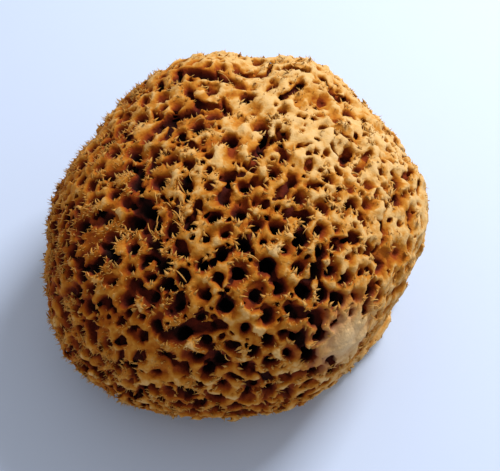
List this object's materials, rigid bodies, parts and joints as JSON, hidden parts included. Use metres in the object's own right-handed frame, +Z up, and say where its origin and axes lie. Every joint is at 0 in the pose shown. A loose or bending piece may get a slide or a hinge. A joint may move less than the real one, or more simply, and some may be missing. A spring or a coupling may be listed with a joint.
{
  "type": "sea sponge",
  "caption": "Rounded natural bath sponge: one lump of tan skeleton pitted with open canal mouths, ragged between them, and cut flat underneath to rest on.",
  "frame": {"origin": "on the flat cut that the sponge rests on, at the middle of the bounding box's bottom", "axes": "+Z up out of the flat cut, +X to the right of a viewer who stands at -Y, the side in the picture's foreground"},
  "size_m": [0.13, 0.125, 0.08],
  "materials": {
    "spongin": "matt dry spongin fibre, pale tan on the crests and orange brown inside the canals"
  },
  "bodies": {
    "root": {"sponge": "spongin"}
  },
  "joints": []
}
